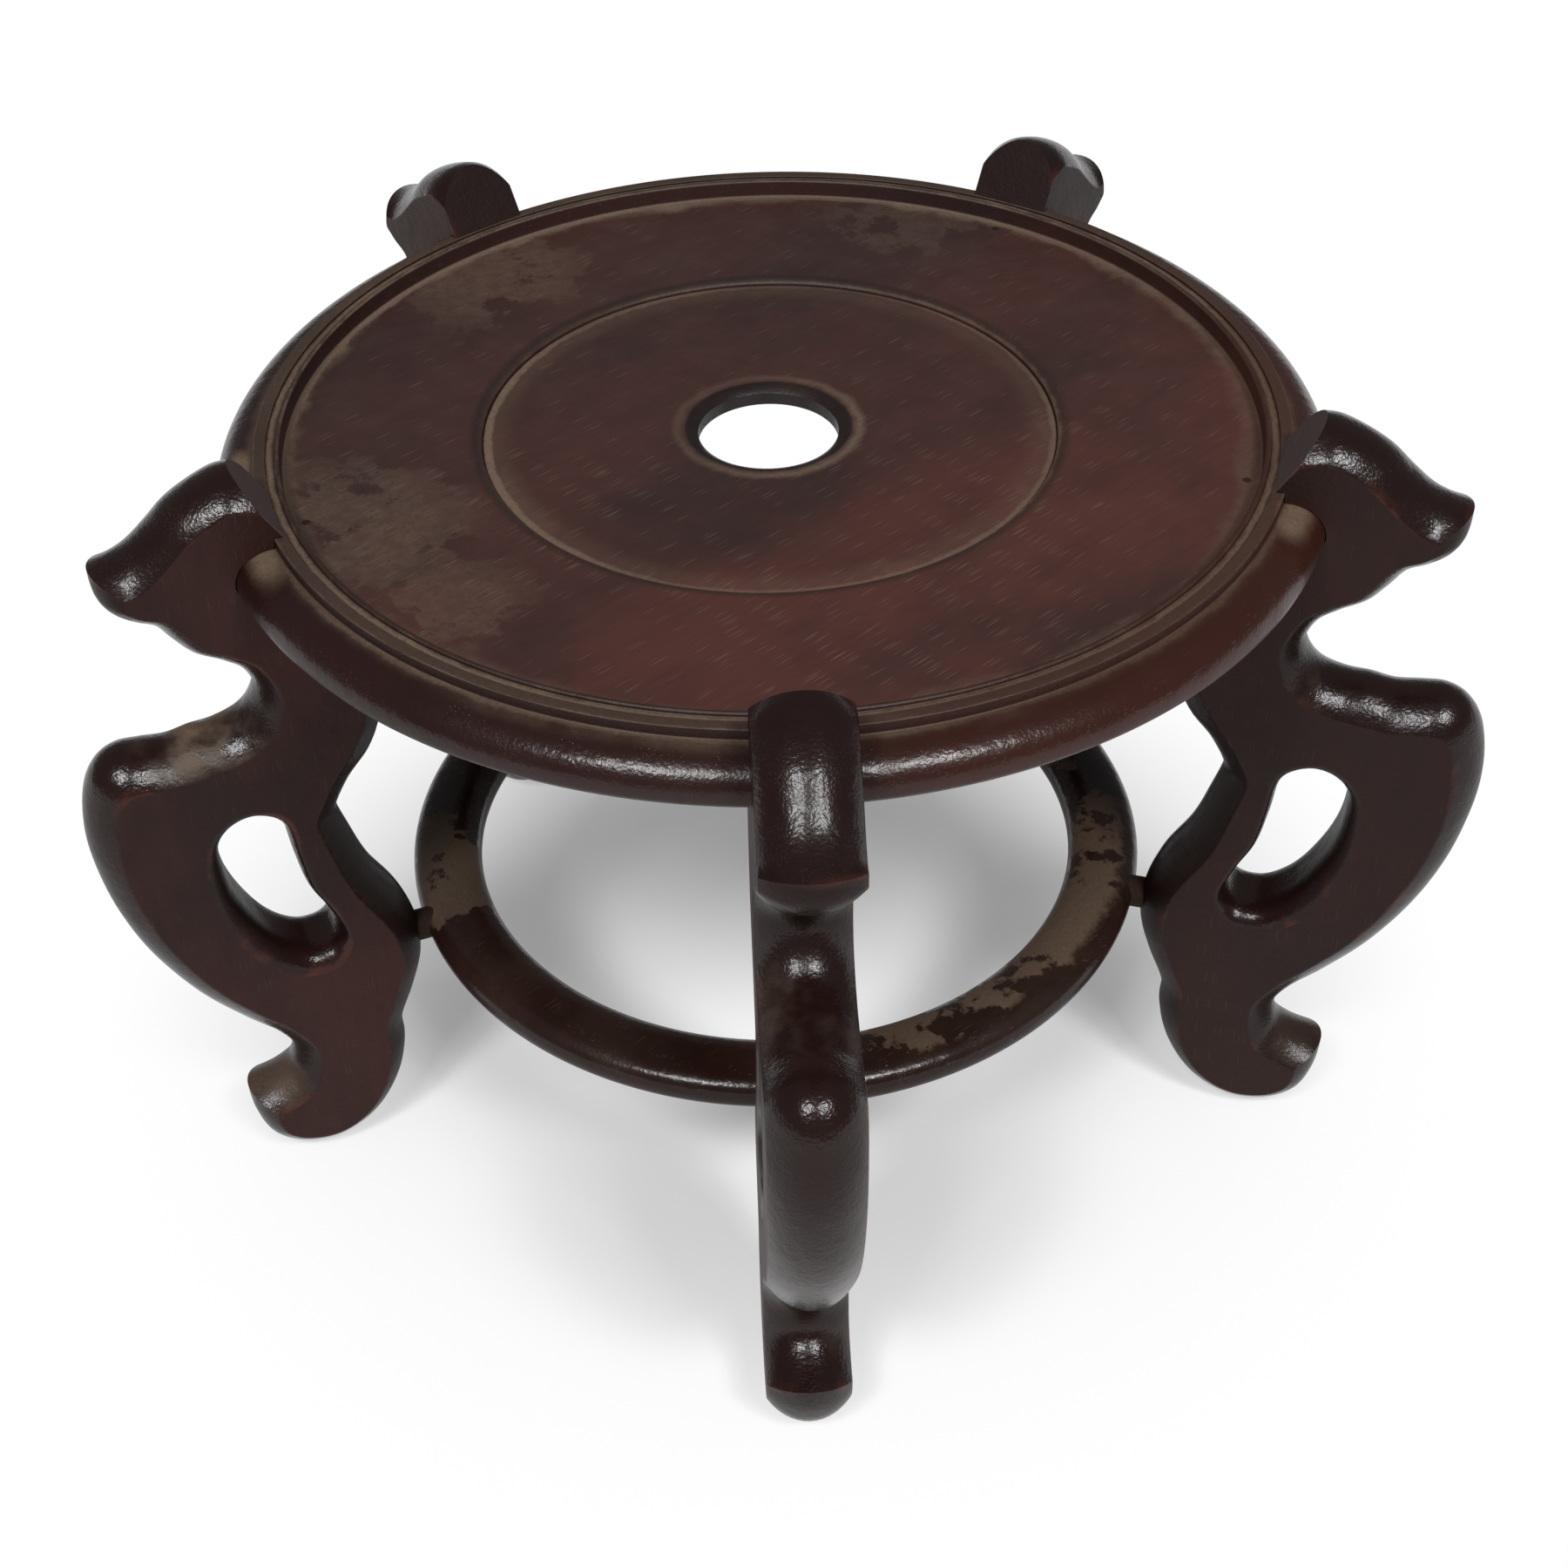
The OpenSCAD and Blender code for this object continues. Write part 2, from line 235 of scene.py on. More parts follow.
class Side(Enum):
    """Directions across the stand, from its axis, that dust, wear, tone and painted shade and sheen follow.
    """

    BACK = (-0.3, 0.95)
    BACK_LEFT = (-0.6, 0.8)
    LEFT_BACK = (-0.9, 0.4)
    LEFT = (-1.0, 0.0)
    LEFT_FRONT = (-0.9, -0.3)
    FRONT = (0.0, -1.0)
    NEAR_FRONT = (0.2, -0.98)
    FRONT_RIGHT = (0.6, -0.8)
    RIGHT_FRONT = (0.75, -0.6)
    RIGHT = (0.85, -0.5)


@dataclass(frozen=True)
class Texture:
    """A noise: features to the metre, how many finer layers, and how strong those are."""

    scale: float
    detail: float = 3.0
    rough: float = 0.55


# The noises that break up dust, wear, gloss and relief.
PATCHES = Texture(30, 4, 0.6)
CLOUDS = Texture(9, 2)
GRIT = Texture(1100, 2)
RAGGED = Texture(160, 4, 0.65)
TORN = Texture(90, 5, 0.7)
FOOT_PATCHES = Texture(45, 4, 0.6)
FILM = Texture(75, 6, 0.68)
SCRATCHES = Texture(260, 4, 0.7)
FLAKES = Texture(85, 5, 0.62)
RUBBING = Texture(70, 4, 0.65)
PORE_CLOUDS = Texture(16, 3)
GLOSS = Texture(60, 5, 0.65)
PEEL = Texture(1400, 2, 0.5)
DENTS = Texture(420, 2, 0.5)
HILLS = Texture(130, 2, 0.5)


@dataclass(frozen=True)
class Blot:
    """A soft round patch on a level surface: centre and reach in millimetres, and strength."""

    x: float
    y: float
    reach: float
    share: float = 1.0


# The share of a blot's reach that is full, and the blots of dust and of the lock pins.
BLOT_CORE = 0.3
RIM_CORNERS = (Blot(-112, -46, 17), Blot(-120, -12, 9), Blot(108, -50, 11))
RIM_STREAKS = (Blot(-36, -112, 46), Blot(24, -116, 26))
FIELD_BLOTS = (Blot(-92, -36, 40), Blot(-66, 74, 38), Blot(-70, -66, 26, 0.8), Blot(40, 92, 34, 0.7))
RING_SIDES = (Blot(-86, -14, 34), Blot(78, -30, 52), Blot(78, 40, 40, 0.6), Blot(34, -72, 30, 0.5))
PIN_RADIUS = 107.0
PIN_REACH = 1.5
PIN_DOTS = tuple(Blot(PIN_RADIUS * math.cos(turn), PIN_RADIUS * math.sin(turn), PIN_REACH)
                 for turn in map(leg_angle, LEG_NUMBERS))


class Surface:
    """What every part of a finish reads from the surface: place, facing, patches of noise and wear."""

    def __init__(self, tree: ShaderTree) -> None:
        """Add the nodes that all parts share.

        Args:
            tree: the material's tree.
        """
        self.tree = tree
        self.place = tree.place()
        self.facing = tree.node("ShaderNodeNewGeometry", out="Normal")
        self.flat = tree.node("ShaderNodeVectorMath", {"operation": "MULTIPLY"},
                              {0: self.place, 1: (1, 1, 0)})
        self.radius = tree.node("ShaderNodeVectorMath", {"operation": "LENGTH"}, {0: self.flat}, "Value")
        self.height = tree.along(self.place, (0, 0, 1))
        self.up = tree.along(self.facing, (0, 0, 1))
        self.upright = self.up.band(-0.32, 0.3, 0.2)
        self.patch = self.noise(PATCHES)
        self.cloud = self.noise(CLOUDS)
        self.rub = self.attribute("wear") * self.noise(RUBBING).rise(0.5, 0.66)

    def noise(self, texture: Texture) -> Socket:
        """A noise over the surface, from 0 to 1."""
        return self.tree.noise(self.place, texture.scale, texture.detail, texture.rough)

    def attribute(self, name: str) -> Socket:
        """A value that the mesh carries."""
        return self.tree.node("ShaderNodeAttribute", {"attribute_name": name}, None, "Fac")

    def toward(self, side: Side, low: float, high: float) -> Socket:
        """A smooth step toward a side, between two distances from the axis in millimetres."""
        return self.tree.along(self.place, (*side.value, 0)).past(low, high)

    def blots(self, blots: tuple[Blot, ...]) -> Socket:
        """Soft round patches, the strongest where they overlap.

        Args:
            blots: the patches.

        Returns:
            0 to 1.
        """
        found = None
        for blot in blots:
            centre = (blot.x * MM, blot.y * MM, 0)
            far = self.tree.node("ShaderNodeVectorMath", {"operation": "DISTANCE"},
                                 {0: self.flat, 1: centre}, "Value")
            made = far.past(blot.reach, BLOT_CORE * blot.reach) * blot.share
            found = made if found is None else found.highest(made)
        return found

    def thinning(self) -> Socket:
        """Broad places where dust lies thicker."""
        return self.cloud.rise(0.35, 0.6)


@dataclass(frozen=True)
class Lacquer(ABC):
    """Old lacquered hardwood with open pores, wear and settled dust.

    Satin and bright shine are the specular levels of its dull and its polished shader.
    """

    name: str
    deep: str
    warm: str
    grain: tuple[float, float, float]
    sheen: float = 0.26
    satin_shine: float = 0.11
    bright_shine: float = 0.36
    satin_rougher: float = 0.24
    dust_rougher: float = 0.45
    pore_share: float = 0.5
    pore_tint: float = 0.3
    peel: float = 1.0
    dents: float = 1.4
    hills: float = 4.0
    bump_depth: float = 0.12
    ruddy: Side = Side.FRONT_RIGHT
    dust_colour: str = "705e4e"
    wear_colour: str = "54291b"
    rim_colour: str = "1e0d0a"
    pore_colour: str = "8f8070"

    @abstractmethod
    def worked(self, on: Surface, tone: Socket) -> tuple[Socket, Socket]:
        """Tint and polish the piece, with painted shade or sheen where a kind of lacquer adds it.

        Args:
            on: the surface.
            tone: the colour of the wood.

        Returns:
            The new colour and the share of polish.
        """

    @abstractmethod
    def settled(self, on: Surface) -> Socket:
        """Where dust lies on faces that look up, from 0 to 1."""

    def stretched(self, on: Surface, along: float, across: float) -> Socket:
        """Scale the surface point along the grain and across it.

        Args:
            on: the surface.
            along: the scale along the grain.
            across: the scale in both directions across it.

        Returns:
            The scaled point.
        """
        tree = on.tree
        grain = Vector(self.grain).normalized()
        side = grain.orthogonal().normalized()
        far, wide, thick = (tree.along(on.place, tuple(axis)) for axis in (grain, side, grain.cross(side)))
        return tree.vector(far * along, wide * across, thick * across)

    def pores(self, on: Surface) -> Socket:
        """Short open pores along the grain, denser at the front.

        Args:
            on: the surface.

        Returns:
            1 in a pore, 0 between pores.
        """
        tree = on.tree
        cells = {"Vector": self.stretched(on, 105, 4200), "Scale": 1.0}
        core = tree.node("ShaderNodeTexVoronoi", None, cells).rise(0.34, 0.12)
        kind = tree.along(tree.node("ShaderNodeTexVoronoi", None, cells, "Color"), (1, 0, 0))
        front = 0.25 + 0.75 * on.toward(Side.NEAR_FRONT, -40, 50)
        dense = on.noise(PORE_CLOUDS).rise(0.36, 0.62) * front * self.pore_share
        return core * (kind + dense * 0.4).rise(0.86, 1.06)

    def wood(self, on: Surface, streak: Socket, pores: Socket) -> Socket:
        """Colour the wood by its figure, fine streaks and pores.

        Args:
            on: the surface.
            streak: noise in fine streaks along the grain.
            pores: where the pores are.

        Returns:
            The colour.
        """
        tree = on.tree
        figure = tree.noise(self.stretched(on, 13, 24), 1.0, 4, 0.6)
        ruddy = 0.35 + 0.65 * on.toward(self.ruddy, -80, 100)
        tone = tree.mix(figure.rise(0.3, 0.66) * ruddy, linear(self.deep), linear(self.warm))
        tone = tree.mix(streak.rise(0.42, 0.8) * 0.3, tone, linear(self.deep))
        return tree.mix(pores * self.pore_tint, tone, linear(self.pore_colour))

    def relief(self, on: Surface, streak: Socket, pores: Socket) -> Socket:
        """Orange peel, dents, low hills and open pores as a bump.

        Args:
            on: the surface.
            streak: noise in fine streaks along the grain.
            pores: where the pores are.

        Returns:
            The normal.
        """
        height = on.noise(PEEL) * self.peel + on.noise(DENTS) * self.dents + on.noise(HILLS) * self.hills
        height = height - pores * 0.8 + streak * 0.25
        return on.tree.node("ShaderNodeBump", None,
                            {"Strength": 0.5, "Distance": self.bump_depth * MM, "Height": height})

    def make(self) -> bpy.types.Material:
        """Build the material.

        Returns:
            The material, with its dull and polished shaders mixed.
        """
        tree = ShaderTree(self.name)
        on = Surface(tree)
        streak = tree.noise(self.stretched(on, 30, 700), 1.0, 3, 0.6)
        pores = self.pores(on)
        tone = self.wood(on, streak, pores)
        tone = tree.mix(on.rub * 0.4, tone, linear(self.wear_colour))
        tone, polish = self.worked(on, tone)
        grit = 0.75 + 0.6 * (on.noise(GRIT) - 0.5)
        dust = on.up.rise(0.2, 0.85) * self.settled(on) * grit
        tone = tree.mix(dust, tone, linear(self.dust_colour))
        gloss = self.sheen + (on.noise(GLOSS) - 0.5) * 0.22 + (streak - 0.5) * 0.05
        gloss = gloss + dust * self.dust_rougher
        shared = {"Base Color": tone, "Normal": self.relief(on, streak, pores)}
        dull = {**shared, "Roughness": gloss + self.satin_rougher, "Specular IOR Level": self.satin_shine}
        bright = {**shared, "Roughness": gloss, "Specular IOR Level": self.bright_shine}
        return tree.finish(dull, bright, polish * (1.0 - dust))


@dataclass(frozen=True)
class BoardLacquer(Lacquer):
    """The board's lacquer: a dark rim, bare and red at the right, painted shade on the recess step and round
    the hole, and dust in every corner.

    Zones give a lower and an upper radius and how softly they end, in millimetres.
    """

    bare_colour: str = "341710"
    # The colour of the painted shade at the recess step and the hole, and of the dark pin dots.
    pin_and_shade_colour: str = "190f0d"
    rim_foot: Span = (109.6, 110.4)
    polish_from: Span = (115.9, 116.4)
    # The hole's rolled lip, darkened with painted shade.
    hole_roll: Span = (19.4, 18.6)
    groove: Zone = (111.5, 113.0, 0.9)
    shelf: Zone = (115.9, 117.0, 1.3)
    mouldings: Zone = (111.0, 117.6, 1.6)
    back_mouldings: Zone = (110.4, 118.0, 1.2)
    corners: Zone = (115.8, 122.0, 2.2)
    front_streaks: Zone = (115.8, 118.4, 2.4)
    foot: Zone = (105.4, 114.0, 2.4)
    foot_end: Span = (110.4, 109.9)
    foot_line: Zone = (108.2, 110.4, 0.7)
    field_end: Span = (110.0, 109.0)
    field_start: Span = (66.0, 74.0)
    recess_line: Zone = (63.5, 65.7, 0.7)
    recess_drift: Zone = (60.0, 65.0, 4.5)
    # The soft step down to the recess, darkened with painted shade, more toward the back left.
    recess_step: Zone = (65.6, 67.4, 1.4)
    hole_ring: Zone = (19.8, 21.6, 1.4)
    ragged_depth: float = 2.4
    torn_depths: Span = (11.0, 7.0)
    foot_spread: float = 2.5
    line_spread: float = 0.7

    def worked(self, on: Surface, tone: Socket) -> tuple[Socket, Socket]:
        """Darken the rim and the pin dots, paint shade on the recess step and round the hole, and polish the
        rim.

        Args:
            on: the surface.
            tone: the colour of the wood.

        Returns:
            The new colour and the share of polish.
        """
        tree = on.tree
        bare = on.toward(Side.RIGHT, 30, 120)
        edge = tree.mix(bare * 0.85, linear(self.rim_colour), linear(self.bare_colour))
        tone = tree.mix(on.radius.past(*self.rim_foot) * 0.9, tone, edge)
        # Painted shade: the hole's rolled lip and the recess step are darkened where shade falls; the pin
        # dots are the pins' own dark ends.
        rolled = on.radius.past(*self.hole_roll)
        step = on.radius.zone(self.recess_step) * (0.7 + 0.25 * on.toward(Side.BACK_LEFT, -30, 50))
        tone = tree.mix(rolled.highest(step), tone, linear(self.pin_and_shade_colour))
        tone = tree.mix(on.blots(PIN_DOTS) * 0.9, tone, linear(self.pin_and_shade_colour))
        polish = on.radius.past(*self.polish_from) * 0.9 * (1.0 - 0.6 * on.upright)
        return tone, polish.highest(rolled * 0.15)

    def settled(self, on: Surface) -> Socket:
        """Dust in the mouldings, round the recess and the hole, and in wiped patches on the field."""
        rim = self.moulding_dust(on).highest(self.foot_dust(on))
        return rim.highest(self.recess_dust(on)).highest(self.field_dust(on))

    def ragged(self, on: Surface) -> Socket:
        """The radius, with a ragged edge for dust that ends at it."""
        return on.radius + (on.noise(RAGGED) - 0.5) * (self.ragged_depth * MM)

    def back(self, on: Surface) -> Socket:
        """The back of the board, where dust lies thickest."""
        return on.toward(Side.BACK, -60, 80)

    def moulding_dust(self, on: Surface) -> Socket:
        """Dust on the ledges of the rim, thick beside the legs.

        Args:
            on: the surface.

        Returns:
            0 to 1.
        """
        ragged, back = self.ragged(on), self.back(on)
        ledges = ragged.zone(self.groove).highest(ragged.zone(self.shelf))
        ledges = ledges.highest(ragged.zone(self.mouldings) * 0.28)
        ledges = ledges.highest(ragged.zone(self.back_mouldings) * back * 0.4)
        heaps = on.blots(RIM_CORNERS) * ragged.zone(self.corners)
        streaks = on.blots(RIM_STREAKS) * ragged.zone(self.front_streaks) * on.patch.rise(0.36, 0.62) * 0.6
        return (ledges * (0.55 + 0.45 * on.thinning())).highest(heaps.highest(streaks) * 0.9)

    def foot_dust(self, on: Surface) -> Socket:
        """Dust on the field along the foot of the lip, thickest at the back.

        Args:
            on: the surface.

        Returns:
            0 to 1.
        """
        ragged, back = self.ragged(on), self.back(on)
        broad, small = self.torn_depths
        torn = on.radius + (on.patch - 0.5) * (broad * MM) + (on.noise(TORN) - 0.5) * (small * MM)
        foot = (torn - back * (self.foot_spread * MM)).zone(self.foot) * on.radius.past(*self.foot_end)
        foot = foot * (0.36 + 0.6 * back) * (0.65 + 0.35 * on.noise(FOOT_PATCHES).rise(0.4, 0.6))
        return foot.highest(ragged.zone(self.foot_line) * back * (0.7 + 0.3 * on.thinning()))

    def recess_dust(self, on: Surface) -> Socket:
        """Dust against the step of the recess and round the hole.

        Args:
            on: the surface.

        Returns:
            0 to 1.
        """
        ragged, back = self.ragged(on), self.back(on)
        left = on.toward(Side.LEFT_BACK, -20, 60)
        line = (ragged + left * (self.line_spread * MM)).zone(self.recess_line) * (0.75 + 0.25 * left)
        line = line * (0.55 + 0.45 * on.thinning())
        drift = ragged.zone(self.recess_drift) * on.patch.rise(0.45, 0.62).highest(back * 0.3 + 0.6) * 0.36
        halo = ragged.zone(self.hole_ring) * (0.36 + 0.5 * on.toward(Side.RIGHT_FRONT, -20, 20))
        return line.highest(drift).highest(halo)

    def field_dust(self, on: Surface) -> Socket:
        """Half-wiped films of dust on the field and a thin veil over it.

        Args:
            on: the surface.

        Returns:
            0 to 1.
        """
        fine = on.noise(FILM)
        blots = on.blots(FIELD_BLOTS)
        wiped = (fine * 0.55 + on.patch * 0.45 + blots * 0.14).rise(0.55, 0.59)
        wiped = wiped * (0.7 + 0.5 * on.noise(SCRATCHES).rise(0.35, 0.65))
        inside = on.radius.past(*self.field_end)
        film = wiped * blots * inside * on.radius.past(*self.field_start) * 0.34
        veil = blots.highest(0.3 * self.back(on) + 0.16) * inside * fine.rise(0.35, 0.7) * 0.2
        return film.highest(veil)


@dataclass(frozen=True)
class RingLacquer(Lacquer):
    """The ring's lacquer, polished all round, with flaking dust at its sides."""

    dust_end: Span = (93.0, 89.5)
    flake_depth: float = 14.0

    def worked(self, on: Surface, tone: Socket) -> tuple[Socket, Socket]:
        """Polish the ring, less on its upright faces."""
        return tone, (1.0 - 0.6 * on.upright) * 0.8

    def settled(self, on: Surface) -> Socket:
        """Flaking dust at both sides, held off the outer edge at the right.

        Args:
            on: the surface.

        Returns:
            0 to 1.
        """
        fine = on.noise(FLAKES)
        sides = on.blots(RING_SIDES)
        held = (on.radius + (fine - 0.5) * (self.flake_depth * MM)).past(*self.dust_end)
        held = held.highest(on.toward(Side.LEFT, 60, 70) * 0.9)
        lain = (fine * 0.7 + on.patch * 0.3 + sides * 0.17).rise(0.575, 0.615) * sides.rise(0.05, 0.2)
        lain = lain * held * (0.6 + 0.3 * on.thinning())
        return lain.highest(on.patch.rise(0.3, 0.7) * 0.12)


@dataclass(frozen=True)
class LegLacquer(Lacquer):
    """The legs' lacquer: satin flats, dark polished domes and rubbed edges, with heights in millimetres."""

    # The colour of the painted sheen, with some dust, that pales the inward cuts above the board.
    cut_sheen_and_dust_colour: str = "5c5150"
    cut_from: Span = (188.0, 191.0)
    tip_underside: Zone = (178.0, 187.6, 0.8)
    tip_reach: Span = (147.5, 149.0)
    shoulder: Zone = (134.0, 143.0, 3.0)
    shoulder_reach: Span = (158.0, 140.0)
    toe: Zone = (19.0, 30.0, 3.0)
    toe_reach: Span = (128.0, 134.0)

    def worked(self, on: Surface, tone: Socket) -> tuple[Socket, Socket]:
        """Darken and polish the domes, and leave the cuts above the board dull, paled by painted sheen with
        some dust, most on the front legs.

        Args:
            on: the surface.
            tone: the colour of the wood.

        Returns:
            The new colour and the share of polish.
        """
        tree = on.tree
        outward = tree.node("ShaderNodeVectorMath", {"operation": "DOT_PRODUCT"},
                            {0: on.facing, 1: on.place}, "Value")
        lean = (outward - on.height * on.up) / on.radius
        cut = lean.rise(-0.3, -0.5) * on.height.past(*self.cut_from)
        polish = on.attribute("polish")
        tone = tree.mix(polish * 0.85, tone, linear(self.rim_colour))
        tone = tree.mix(on.rub * 0.4, tone, linear(self.wear_colour))
        # Painted sheen with some dust: the inward cuts are paled toward grey, most on the legs toward the
        # front.
        pale = 0.06 + 0.7 * on.toward(Side.FRONT, -60, 0)
        tone = tree.mix(cut * pale, tone, linear(self.cut_sheen_and_dust_colour))
        under = on.height.zone(self.tip_underside) * on.radius.past(*self.tip_reach)
        dulled = lean.rise(-0.15, -0.5).highest(under)
        return tone, polish * (1.0 - cut) * (1.0 - 0.7 * dulled) * (1.0 - 0.6 * on.upright)

    def settled(self, on: Surface) -> Socket:
        """Dust in the hollows behind the shoulder and the toe, thicker at the left.

        Args:
            on: the surface.

        Returns:
            0 to 1.
        """
        hollows = on.height.zone(self.shoulder) * on.radius.past(*self.shoulder_reach)
        hollows = hollows.highest(on.height.zone(self.toe) * on.radius.past(*self.toe_reach) * 0.5)
        left = 0.3 + 0.7 * on.toward(Side.LEFT, -20, 120)
        return hollows * left * on.patch.rise(0.44, 0.57) * 0.9


@dataclass(frozen=True)
class Paper:
    """The pale floor, white to the camera and plain to the light."""

    colour: str = "fdfdfd"
    lift: float = 0.25
    fade: Span = (0.08, 0.2)

    def make(self) -> bpy.types.Material:
        """Build the material.

        Returns:
            The material.
        """
        tree = ShaderTree("pale_floor")
        seen = [tree.node("ShaderNodeLightPath", None, None, name)
                for name in ("Is Camera Ray", "Is Glossy Ray", "Is Transmission Ray")]
        away = tree.node("ShaderNodeVectorMath", {"operation": "LENGTH"}, {0: tree.place()}, "Value")
        white = self.lift + (1.0 - self.lift) * away.rise(*self.fade)
        share = (seen[0] + seen[1] + seen[2]).lowest(1.0) * white
        matte = tree.node("ShaderNodeBsdfDiffuse", None, {"Color": linear(self.colour)})
        glow = tree.node("ShaderNodeEmission", None, {"Color": (1, 1, 1, 1), "Strength": 1.0})
        both = tree.node("ShaderNodeMixShader", None, {0: share, 1: matte, 2: glow})
        tree.node("ShaderNodeOutputMaterial", None, {"Surface": both})
        return tree.material


def arc(centre: tuple[float, float], radius: float, start: float, end: float, steps: int) -> Points:
    """Points of an arc.

    Args:
        centre: its centre (r, z).
        radius: its radius.
        start: first angle in degrees.
        end: last angle in degrees.
        steps: how many chords.

    Returns:
        A list of (r, z).
    """
    angles = [math.radians(start + (end - start) * i / steps) for i in range(steps + 1)]
    return [(centre[0] + radius * math.cos(a), centre[1] + radius * math.sin(a)) for a in angles]


def rounded_corner(at: tuple[float, float], toward: tuple[int, int], radius: float, turn: Span,
                   steps: int) -> Points:
    """A rounded corner.

    Args:
        at: the sharp corner (r, z).
        toward: the signs of r and z from the corner to the centre of its round.
        radius: the radius of its round.
        turn: first and last angle in degrees.
        steps: how many chords.

    Returns:
        A list of (r, z).
    """
    centre = (at[0] + toward[0] * radius, at[1] + toward[1] * radius)
    return arc(centre, radius, *turn, steps)


def quarter_turn(steps: int) -> list[float]:
    """Angles from 0 to a right angle, in radians."""
    return [math.radians(90 * i / steps) for i in range(steps + 1)]


def as_object(name: str, bm: bmesh.types.BMesh, crease: float = 30.0) -> bpy.types.Object:
    """Turn a bmesh into a smooth-shaded object.

    Args:
        name: the piece's name.
        bm: the mesh, which is freed.
        crease: edges sharper than this many degrees stay sharp.

    Returns:
        The linked object.
    """
    bmesh.ops.recalc_face_normals(bm, faces=bm.faces)
    mesh = bpy.data.meshes.new(name)
    bm.to_mesh(mesh)
    bm.free()
    mesh.polygons.foreach_set("use_smooth", [True] * len(mesh.polygons))
    mesh.set_sharp_from_angle(angle=math.radians(crease))
    made = bpy.data.objects.new(name, mesh)
    bpy.context.scene.collection.objects.link(made)
    return made


def bridge(bm: bmesh.types.BMesh, loops: list[np.ndarray], closed: bool) -> list:
    """Skin quads between neighbouring loops of points in metres.

    Args:
        bm: the mesh to add to.
        loops: arrays of points, all of one length.
        closed: whether the last loop joins the first.

    Returns:
        The vertices of each loop.
    """
    rows = [[bm.verts.new(point) for point in loop] for loop in loops]
    count = len(rows)
    for j in range(count if closed else count - 1):
        near, far = rows[j], rows[(j + 1) % count]
        for i in range(len(near)):
            k = (i + 1) % len(near)
            bm.faces.new((near[i], near[k], far[k], far[i]))
    return rows


@dataclass
class Turning:
    """A piece turned on the lathe: a closed section swept round the axis."""

    name: str
    section: Points
    turns: int = 300
    crease: float = 40.0

    def build(self) -> bpy.types.Object:
        """Make the piece from its section.

        Returns:
            The linked object.
        """
        bm = bmesh.new()
        flat = np.array(self.section) * MM
        angles = np.arange(self.turns) * (2 * math.pi / self.turns)
        loops = [np.column_stack((flat[:, 0] * math.cos(a), flat[:, 0] * math.sin(a), flat[:, 1]))
                 for a in angles]
        bridge(bm, loops, True)
        return as_object(self.name, bm, self.crease)

    def dress(self, finish: bpy.types.Material, slot: str) -> bpy.types.Object:
        """Build the piece, give it its finish and let it stand for its CAD node.

        Args:
            finish: the material.
            slot: the name of a material slot; not used.

        Returns:
            The piece.
        """
        piece = self.build()
        piece.data.materials.append(finish)
        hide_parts(self.name.removesuffix("_turned"))
        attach(piece, "root")
        LOG.info("turned %s with %d points", self.name, len(self.section))
        return piece


